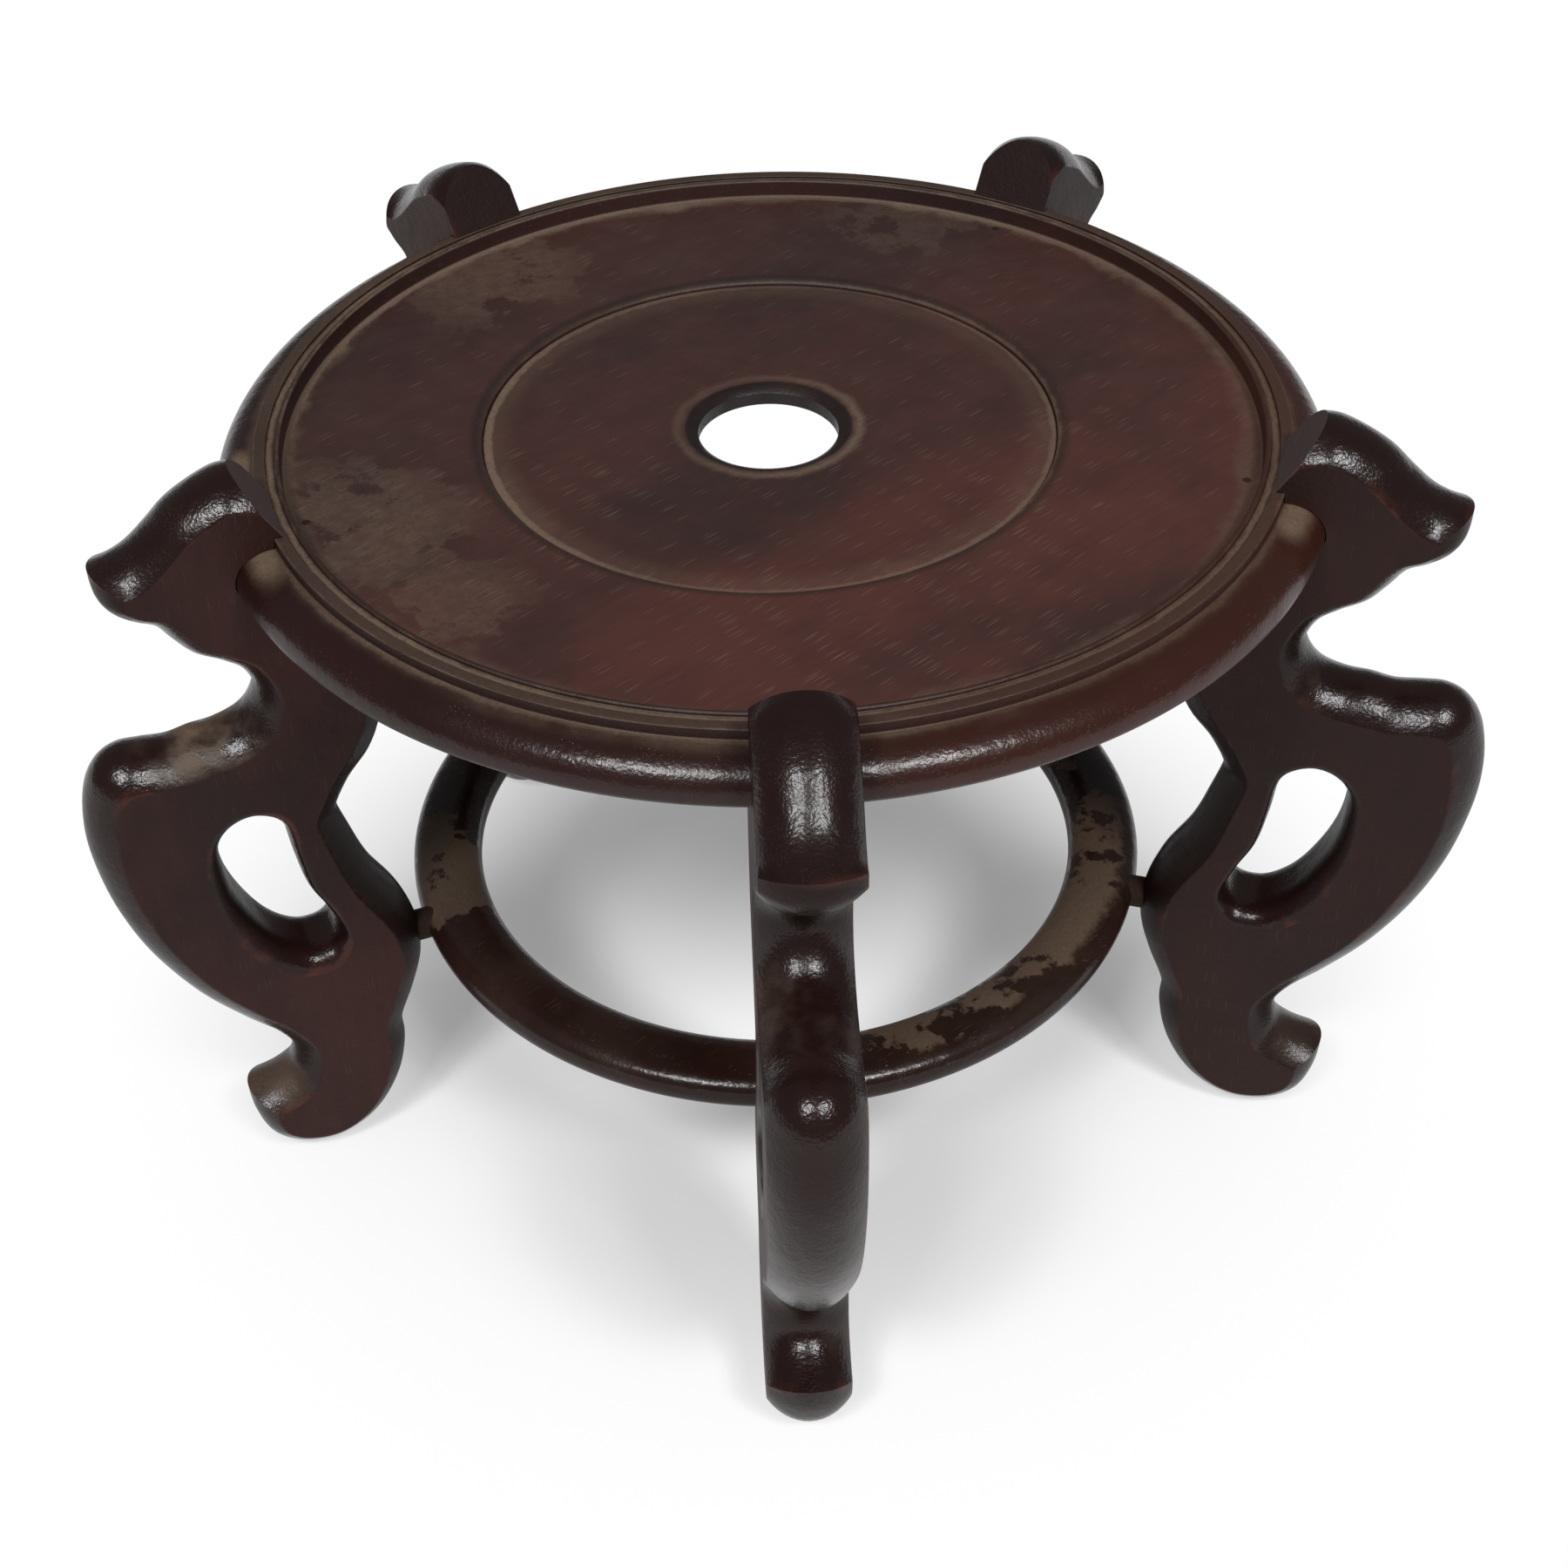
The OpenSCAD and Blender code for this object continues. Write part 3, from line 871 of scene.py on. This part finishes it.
@dataclass
class Board:
    """The moulded board and the thin panel let into it, in millimetres.

    The loops are radii of extra points on the flat faces, and the rounds are radii of small corners.
    """

    radius: float = 125.6
    under: float = 179.9
    under_loop: float = 80.5
    lip: float = 110.0
    lip_outer: float = 111.3
    lip_top: float = 192.6
    lip_round: float = 0.65
    fillet_inner: float = 113.1
    fillet_outer: float = 115.9
    fillet_drop: float = 0.2
    fillet_round: float = 0.3
    groove_drop: float = 0.9
    groove_round: float = 0.2
    inner_round: float = 0.25
    shelf_round: float = 0.4
    field: float = 188.2
    field_loops: Span = (100.0, 80.0)
    field_round: float = 0.7
    edge_round: float = 5.0
    edge_width: float = 9.0
    edge_rise: float = 7.6
    edge_steps: int = 15
    under_round: float = 4.0
    seat: float = 60.5
    panel_radius: float = 65.0
    panel_face: float = 186.8
    panel_loops: Span = (50.0, 35.0)
    panel_under: float = 182.6
    panel_under_loop: float = 40.0
    panel_round: float = 0.5
    panel_fit: float = 0.12
    hole: float = 16.0
    hole_lip: float = 3.4
    hole_round: float = 5.0
    shoulder_width: float = 3.4
    shoulder_foot: float = 0.1
    shoulder_steps: int = 10

    @property
    def shelf(self) -> float:
        """The height of the rounded edge."""
        return self.under + 2 * self.edge_round

    @property
    def fillet(self) -> float:
        """The height of the fillet between the edge and the groove."""
        return self.lip_top - self.fillet_drop

    def mouldings(self) -> Points:
        """The small mouldings of the rim, between its rounded edge and the field.

        Returns:
            Points from the foot of the fillet inwards.
        """
        groove = self.lip_top - self.groove_drop
        # The lip's first point is the last one of the corner before it.
        lip = arc((self.lip + self.lip_round, self.lip_top - self.lip_round), self.lip_round, 0, 180, 10)
        return [*rounded_corner((self.fillet_outer, self.shelf), (1, 1), self.shelf_round, (-90, -180), 4),
                *rounded_corner((self.fillet_outer, self.fillet), (-1, -1), self.fillet_round, (0, 90), 4),
                *rounded_corner((self.fillet_inner, self.fillet), (1, -1), self.inner_round, (90, 180), 3),
                *rounded_corner((self.fillet_inner, groove), (-1, 1), self.groove_round, (0, -90), 3),
                *rounded_corner((self.lip_outer, groove), (1, 1), self.inner_round, (-90, -180), 3),
                *lip[1:],
                *rounded_corner((self.lip, self.field), (-1, 1), self.field_round, (0, -90), 5)]

    def board_section(self) -> Points:
        """The section of the board, anticlockwise from its seat.

        Returns:
            A closed list of (r, z).
        """
        lap = self.panel_radius + self.panel_fit
        return [(self.seat, self.under), (self.under_loop, self.under),
                *self.rounded_edge(), *self.mouldings(), *((r, self.field) for r in self.field_loops),
                *self.shoulder(lap), (lap, self.panel_under), (self.seat, self.panel_under)]

    def rounded_edge(self, grow: float = 0.0) -> Points:
        """The full rounded edge, from the underside up to the foot of the fillet.

        Args:
            grow: how far outside it the points lie.

        Returns:
            Points from the underside upward.
        """
        waist = self.shelf - self.edge_rise
        turned = quarter_turn(self.edge_steps)
        low_mid, high_mid = self.radius - self.under_round, self.radius - self.edge_width
        low = [(low_mid + (self.under_round + grow) * math.sin(a),
                waist - (waist - self.under + grow) * math.cos(a)) for a in turned]
        high = [(high_mid + (self.edge_width + grow) * math.cos(a),
                 waist + (self.edge_rise + grow) * math.sin(a)) for a in turned]
        return [*low, *high[1:]]

    def shoulder(self, foot: float) -> Points:
        """The soft shoulder from the field down to the thin panel.

        Args:
            foot: the radius of its foot.

        Returns:
            Points from its crest to its foot.
        """
        drop = self.field - self.panel_face - self.shoulder_foot
        return [(foot + self.shoulder_width * (1 - math.sin(a)), self.field - drop * (1 - math.cos(a)))
                for a in quarter_turn(self.shoulder_steps)]

    def panel_section(self) -> Points:
        """The section of the thin panel, anticlockwise from the foot of its hole.

        Returns:
            A closed list of (r, z).
        """
        reach = math.degrees(math.acos(self.hole_lip / self.hole_round))
        centre = (self.hole + self.hole_lip, self.panel_face - self.hole_round)
        rim = (self.panel_radius, self.panel_face)
        return [(self.hole, self.panel_under), (self.panel_under_loop, self.panel_under),
                (self.panel_radius, self.panel_under),
                *rounded_corner(rim, (-1, -1), self.panel_round, (0, 90), 4),
                *((r, self.panel_face) for r in self.panel_loops),
                *arc(centre, self.hole_round, 90, 180 - reach, 10)]

    def dress(self, finish: bpy.types.Material) -> list[bpy.types.Object]:
        """Turn both pieces and give them their finish."""
        return [Turning("top_board_turned", self.board_section()).dress(finish, "board_wood"),
                Turning("centre_panel_turned", self.panel_section()).dress(finish, "board_wood")]


@dataclass
class Ring:
    """The stretcher ring, in millimetres."""

    inner: float = 77.4
    outer: float = 95.2
    middle: float = 63.0
    thickness: float = 10.4
    fullness: float = 0.8
    steps: int = 48

    def section(self) -> Points:
        """The rounded section of the ring, anticlockwise.

        Returns:
            A closed list of (r, z).
        """
        half = (self.outer - self.inner) / 2
        points = []
        for step in range(self.steps):
            turn = math.radians(180 + step * 360 / self.steps)
            across, up = (math.copysign(abs(v) ** self.fullness, v)
                          for v in (math.cos(turn), math.sin(turn)))
            points.append((self.inner + half * (1 + across), self.middle + self.thickness / 2 * up))
        return points

    def dress(self, finish: bpy.types.Material) -> bpy.types.Object:
        """Turn the ring and give it its finish."""
        return Turning("stretcher_ring_turned", self.section()).dress(finish, "ring_wood")


# Rows along the leg's edge and its opening: ridge (r, z), arris (r, z) in millimetres, and smoothness.
LEG_ROWS = np.array([
    (121.3, 206.0, 117.2, 199.0, 0), (124.4, 205.4, 122.8, 200.4, 1), (130.4, 203.1, 127.4, 198.7, 1),
    (136.2, 199.8, 132.6, 195.8, 1), (141.0, 195.6, 137.0, 191.9, 1), (145.6, 192.0, 141.8, 187.7, 1),
    (149.8, 190.0, 145.4, 185.5, 1), (154.4, 188.6, 148.5, 185.3, 0), (154.2, 183.2, 149.1, 182.4, 1),
    (152.4, 179.2, 147.5, 180.9, 1), (148.6, 176.1, 145.4, 179.5, 1), (144.2, 173.6, 141.0, 177.2, 1),
    (141.2, 169.2, 137.0, 171.4, 1), (137.6, 164.5, 134.0, 167.9, 1), (132.2, 161.0, 129.2, 164.9, 1),
    (127.7, 157.0, 123.7, 160.2, 1), (125.4, 150.8, 120.4, 151.2, 1), (127.2, 145.9, 122.5, 142.6, 1),
    (131.2, 142.0, 127.0, 138.0, 1), (136.6, 140.6, 133.6, 134.9, 1), (141.6, 140.5, 139.6, 133.8, 1),
    (147.0, 139.5, 146.2, 132.9, 1), (153.0, 140.2, 152.0, 133.5, 1), (158.4, 140.4, 156.6, 133.8, 1),
    (163.6, 137.8, 159.4, 132.5, 1), (167.4, 131.9, 161.5, 128.7, 1), (169.7, 121.0, 163.2, 120.0, 1),
    (169.7, 109.0, 163.3, 109.0, 1), (167.4, 93.8, 161.1, 95.4, 1), (162.6, 78.6, 156.6, 81.6, 1),
    (154.8, 63.4, 149.6, 67.6, 1), (146.0, 51.6, 141.2, 56.2, 1), (138.6, 43.2, 133.8, 47.3, 1),
    (134.9, 35.8, 129.0, 37.0, 1), (136.0, 28.6, 131.0, 25.4, 1), (141.2, 24.9, 137.2, 20.2, 1),
    (148.4, 22.7, 142.9, 18.7, 0), (148.0, 15.0, 142.7, 14.4, 1), (145.4, 6.6, 140.9, 10.2, 1),
    (139.0, 1.2, 136.2, 6.8, 1), (130.0, -0.6, 129.6, 5.6, 1), (121.4, 1.8, 123.6, 7.4, 1),
    (113.8, 7.9, 118.0, 12.0, 1), (108.2, 17.4, 113.6, 19.6, 1), (105.6, 27.6, 111.4, 28.2, 1),
    (105.2, 36.0, 111.2, 38.6, 1), (100.8, 46.8, 107.6, 48.6, 1), (97.7, 57.0, 104.3, 58.0, 1),
    (97.6, 67.4, 104.3, 67.8, 1), (100.8, 79.0, 107.2, 76.6, 1), (106.4, 90.0, 112.6, 87.6, 1),
    (109.7, 100.6, 116.0, 99.8, 1), (112.0, 110.8, 118.4, 112.4, 0.6), (107.6, 119.4, 113.6, 122.0, 1),
    (101.6, 126.4, 107.2, 131.4, 1), (98.0, 135.6, 103.2, 139.4, 1), (96.8, 150.0, 101.4, 152.0, 1),
    (97.6, 179.9, 100.4, 179.9, 0)])

HOLE_ROWS = np.array([
    (131.4, 117.6, 131.4, 120.4, 1), (137.6, 116.0, 138.4, 119.4, 1), (141.2, 111.0, 143.8, 113.4, 1),
    (141.6, 103.0, 145.5, 103.4, 1), (140.6, 94.0, 144.8, 92.4, 1), (137.4, 84.6, 141.8, 81.6, 1),
    (132.6, 76.0, 136.4, 71.8, 1), (126.4, 70.6, 128.4, 65.6, 1), (120.4, 70.6, 119.4, 66.2, 1),
    (117.2, 75.2, 115.4, 74.2, 1), (119.6, 83.6, 117.8, 84.6, 1), (123.0, 92.0, 121.2, 93.2, 1),
    (124.6, 102.0, 122.7, 103.2, 1), (126.0, 113.0, 124.4, 115.6, 1)])

# The sharp lips of the leg's tip and toe, as places in LEG_ROWS.
LIP_ROWS = (7, 36)

# Loops between the ridge and the arris, as shares of the half thickness.
SKIN_SHARES = (0, 0.15, 0.3, 0.44, 0.57, 0.68, 0.78, 0.86, 0.92, 0.96, 0.985)


def curve_through(rows: np.ndarray, share: float, steps: int, closed: bool) -> np.ndarray:
    """A smooth curve through rows of ridge and arris points.

    Args:
        rows: ridge (r, z), arris (r, z) and how smooth the point is, 0 to 1.
        share: how far from the ridge (0) to the arris (1) to draw.
        steps: points to a row.
        closed: whether the last row joins the first.

    Returns:
        An array of (r, z) in millimetres.
    """
    points = rows[:, 0:2] + (rows[:, 2:4] - rows[:, 0:2]) * share
    slopes = 0.5 * rows[:, 4:5] * (np.roll(points, -1, 0) - np.roll(points, 1, 0))
    u = (np.arange(steps) / steps)[:, None]
    basis = (2 * u**3 - 3 * u**2 + 1, u**3 - 2 * u**2 + u, 3 * u**2 - 2 * u**3, u**3 - u**2)
    drawn = []
    for i in range(len(points) if closed else len(points) - 1):
        k = (i + 1) % len(points)
        drawn.append(basis[0] * points[i] + basis[1] * slopes[i]
                     + basis[2] * points[k] + basis[3] * slopes[k])
    if not closed:
        drawn.append(points[-1:])
    return np.vstack(drawn)


def pulled(outline: np.ndarray, distance: float) -> np.ndarray:
    """Move a clockwise outline sideways.

    Args:
        outline: an array of (r, z).
        distance: how far to its right (inwards), or to its left where it is negative.

    Returns:
        The moved outline.
    """
    shortest = 1e-9
    tangent = np.roll(outline, -1, 0) - np.roll(outline, 1, 0)
    tangent /= np.maximum(np.linalg.norm(tangent, axis=1, keepdims=True), shortest)
    return outline + distance * np.column_stack((tangent[:, 1], -tangent[:, 0]))


@dataclass(frozen=True)
class Layer:
    """One loop of a leg's skin: share of the half thickness, inset in millimetres, wear and polish."""

    share: float
    inset: float
    wear: float
    polish: float


@dataclass
class ScrollLeg:
    """One pierced S-scroll leg, domed along its edges, in millimetres."""

    number: int
    board: Board
    thickness: float = 20.0
    fullness: float = 0.6
    flare_from: float = 0.4
    fit: float = 0.12
    hook: float = 113.4
    rubbed_from: float = 0.88
    arris: float = 0.12
    arris_polish: float = 0.2
    margin: float = 0.5
    lip_reach: int = 2
    lip_fade: float = 0.3
    steps: int = 6
    crease: float = 32.0

    def dome(self, share: float) -> float:
        """How far the edge has turned from ridge to arris at a share of the half thickness."""
        return (1 - math.sqrt(1 - self.fullness * share * share)) / (1 - math.sqrt(1 - self.fullness))

    def flare(self, share: float) -> float:
        """How far the opening has flared at a share of the half thickness."""
        turned = max(0.0, (share - self.flare_from) / (1 - self.flare_from))
        return 1 - math.sqrt(max(0.0, 1 - turned * turned))

    def housing(self, y: float) -> np.ndarray:
        """The cut that grips the rim of the board.

        Args:
            y: how far to the side of the leg's middle.

        Returns:
            An array of (r, z), from the underside of the board upward.
        """
        board = self.board
        wall, fillet = board.fillet_outer + self.fit, board.fillet + self.fit
        edge = [(r, max(board.under, z)) for r, z in board.rounded_edge(self.fit)]
        points = [*edge, (wall, board.shelf + self.fit), (wall, fillet)]
        bent = [(math.sqrt(r * r - y * y), z) for r, z in points]
        return np.array([*bent, (self.hook, fillet)])

    def layers(self) -> list[Layer]:
        """The layers of one half.

        Returns:
            Layers from the middle of the leg to its flat side.
        """
        skin = [Layer(share, 0.0, max(0.0, (share - self.rubbed_from) / (1 - self.rubbed_from)), 1.0)
                for share in SKIN_SHARES]
        return [*skin, Layer(1.0, self.arris, 1.0, self.arris_polish), Layer(1.0, self.margin, 0.0, 0.0)]

    def outline(self, layer: Layer) -> np.ndarray:
        """The leg's outline at one layer.

        Args:
            layer: the layer.

        Returns:
            A closed array of (r, z).
        """
        edge = curve_through(LEG_ROWS, self.dome(layer.share), self.steps, False)
        cut = self.housing(layer.share * self.thickness / 2)
        return pulled(np.vstack((edge, cut)), layer.inset)

    def opening(self, layer: Layer) -> np.ndarray:
        """The outline of the leg's opening at one layer."""
        return pulled(curve_through(HOLE_ROWS, self.flare(layer.share), self.steps, True), -layer.inset)

    def skin(self, bm: bmesh.types.BMesh, outlines: list[np.ndarray]) -> list:
        """Skin the outlines of one half and of the other, turned to the leg's place.

        Args:
            bm: the mesh to add to, with its wear and polish layers.
            outlines: one outline to a layer.

        Returns:
            The vertices of each loop, from one flat side to the other.
        """
        turn = np.array(Matrix.Rotation(leg_angle(self.number), 3, "Z"))
        half = [(layer, flat, layer.share * self.thickness / 2)
                for layer, flat in zip(self.layers(), outlines)]
        both = [*((layer, flat, -y) for layer, flat, y in reversed(half[1:])), *half]
        loops = []
        for _, flat, y in both:
            solid = np.column_stack((flat[:, 0], np.full(len(flat), y), np.maximum(flat[:, 1], 0)))
            loops.append((turn @ solid.T).T * MM)
        rows = bridge(bm, loops, False)
        wear, polish = (bm.verts.layers.float[name] for name in ("wear", "polish"))
        for (layer, _, _), row in zip(both, rows):
            for vert in row:
                vert[wear] = layer.wear
                vert[polish] = layer.polish
        return rows

    def build(self) -> bpy.types.Object:
        """Make the leg: the skins of its edge and its opening, and the flat sides between them.

        Returns:
            The linked object.
        """
        bm = bmesh.new()
        for name in ("wear", "polish"):
            bm.verts.layers.float.new(name)
        layers = self.layers()
        edge = self.skin(bm, [self.outline(layer) for layer in layers])
        opening = self.skin(bm, [self.opening(layer) for layer in layers])
        self.mark_lips(bm, edge)
        for side in (0, -1):
            border = []
            for loop in (edge[side], opening[side]):
                border += [bm.edges.get((loop[i], loop[(i + 1) % len(loop)])) for i in range(len(loop))]
            bmesh.ops.triangle_fill(bm, use_beauty=True, use_dissolve=False, edges=border)
        return as_object(f"scroll_leg_{self.number}", bm, self.crease)

    def mark_lips(self, bm: bmesh.types.BMesh, rows: list) -> None:
        """Mark the sharp lips of the tip and toe as rubbed.

        Args:
            bm: the leg's mesh.
            rows: the vertices of each loop round the edge.
        """
        wear = bm.verts.layers.float["wear"]
        for row in LIP_ROWS:
            for loop in rows:
                for step in range(-self.lip_reach, self.lip_reach + 1):
                    loop[row * self.steps + step][wear] = 1.0 - self.lip_fade * abs(step)

    def dress(self, finish: bpy.types.Material) -> bpy.types.Object:
        """Build the leg, give it its finish and let it stand for its CAD node.

        Args:
            finish: the material.

        Returns:
            The piece.
        """
        piece = self.build()
        piece.data.materials.append(finish)
        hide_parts(f"leg_{self.number}")
        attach(piece, "root")
        LOG.info("carved leg %d", self.number)
        return piece


@dataclass(frozen=True)
class Lamp:
    """A soft box that faces the stand: place and size in metres, power in watts."""

    name: str
    place: tuple[float, float, float]
    size: tuple[float, float]
    watts: float
    aim: tuple[float, float, float] = (0.0, 0.0, 0.12)

    def hang(self) -> None:
        """Hang the lamp."""
        data = bpy.data.lights.new(self.name, "AREA")
        data.shape = "RECTANGLE"
        data.size, data.size_y = self.size
        data.energy = self.watts
        made = bpy.data.objects.new(self.name, data)
        made.location = self.place
        facing = Vector(self.aim) - Vector(self.place)
        made.rotation_euler = facing.to_track_quat("-Z", "Y").to_euler()
        bpy.context.scene.collection.objects.link(made)


@dataclass
class Studio:
    """Floor, lamps, plain surround and the camera of the photograph.

    The camera's place is in millimetres and its angles in degrees. The floor's reach is in metres.
    """

    place: tuple[float, float, float] = (-20.8, -438.2, 457.6)
    pitch: float = 42.98
    roll: float = -2.58
    focal_pixels: float = 2549.4
    centre_pixel: tuple[float, float] = (800.0, 1000.0)
    photo_side: int = 1800
    sensor: float = 36.0
    surround_light: float = 0.16
    floor_reach: float = 20.0
    lamps: tuple[Lamp, ...] = (
        Lamp("front_left", (-0.58, -1.2, 1.75), (0.5, 0.4), 14.5),
        Lamp("front_right", (0.58, -1.2, 1.75), (0.5, 0.4), 14.5),
        Lamp("left_box", (-0.8, -1.1, 1.7), (0.32, 0.34), 9.0),
        Lamp("right_box", (0.8, -1.1, 1.7), (0.32, 0.34), 9.0))

    def camera(self) -> None:
        """Set the camera where the photograph was taken."""
        data = bpy.data.cameras.new("camera")
        data.sensor_width = self.sensor
        data.lens = self.sensor * self.focal_pixels / self.photo_side
        data.shift_x = 0.5 - self.centre_pixel[0] / self.photo_side
        data.shift_y = self.centre_pixel[1] / self.photo_side - 0.5
        made = bpy.data.objects.new("camera", data)
        tilt = math.radians(self.pitch)
        right, up = Vector((1, 0, 0)), Vector((0, math.sin(tilt), math.cos(tilt)))
        back = Vector((0, -math.cos(tilt), math.sin(tilt)))
        turn = math.radians(self.roll)
        side = right * math.cos(turn) + up * math.sin(turn)
        top = up * math.cos(turn) - right * math.sin(turn)
        basis = Matrix((side, top, back)).transposed().to_4x4()
        made.matrix_world = Matrix.Translation(Vector(self.place) * MM) @ basis
        bpy.context.scene.collection.objects.link(made)
        bpy.context.scene.camera = made

    def surround(self) -> None:
        """Set a plain surround as a weak light from everywhere."""
        world = bpy.data.worlds.new("surround")
        bpy.context.scene.world = world
        world.use_nodes = True
        background = world.node_tree.nodes["Background"]
        background.inputs["Color"].default_value = (1, 1, 1, 1)
        background.inputs["Strength"].default_value = self.surround_light

    def floor(self) -> None:
        """Lay the pale floor."""
        bm = bmesh.new()
        bmesh.ops.create_grid(bm, x_segments=8, y_segments=8, size=self.floor_reach)
        made = as_object("floor", bm)
        made.data.materials.append(Paper().make())

    def build(self) -> None:
        """Set everything up."""
        self.camera()
        self.floor()
        self.surround()
        for lamp in self.lamps:
            lamp.hang()
        bpy.context.scene.view_settings.view_transform = "Standard"
        LOG.info("studio with %d lamps", len(self.lamps))


def main() -> None:
    """Build the stand's looks round its frame."""
    logging.basicConfig(level=logging.INFO)
    board_grain = math.radians(40)
    slant = (math.cos(board_grain), math.sin(board_grain), 0.0)
    upward = (0.0, 0.0, 1.0)
    board_wood = BoardLacquer("board_lacquer", "2f1f1d", "4e2b26", slant, sheen=0.23, satin_shine=0.36,
                              pore_share=0.9, pore_tint=0.42, peel=1.3).make()
    ring_wood = RingLacquer("ring_lacquer", "1f120f", "2a1712", slant, sheen=0.2, pore_share=0.4).make()
    leg_wood = LegLacquer("leg_lacquer", "241816", "361e1a", upward, sheen=0.23, pore_tint=0.1, peel=1.8,
                          rim_colour="190b09", ruddy=Side.LEFT_FRONT).make()
    peg_wood = LegLacquer("peg_wood", "241914", "33241b", upward, sheen=0.5).make()
    board = Board()
    board.dress(board_wood)
    Ring().dress(ring_wood)
    for number in LEG_NUMBERS:
        ScrollLeg(number, board).dress(leg_wood)
    for name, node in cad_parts.items():
        if name.startswith(("ring_peg", "leg_dowel", "lock_pin")):
            node.data.materials.clear()
            node.data.materials.append(peg_wood)
            LOG.info("finished %s", name)
    Studio().build()


if __name__ == "__main__":
    main()
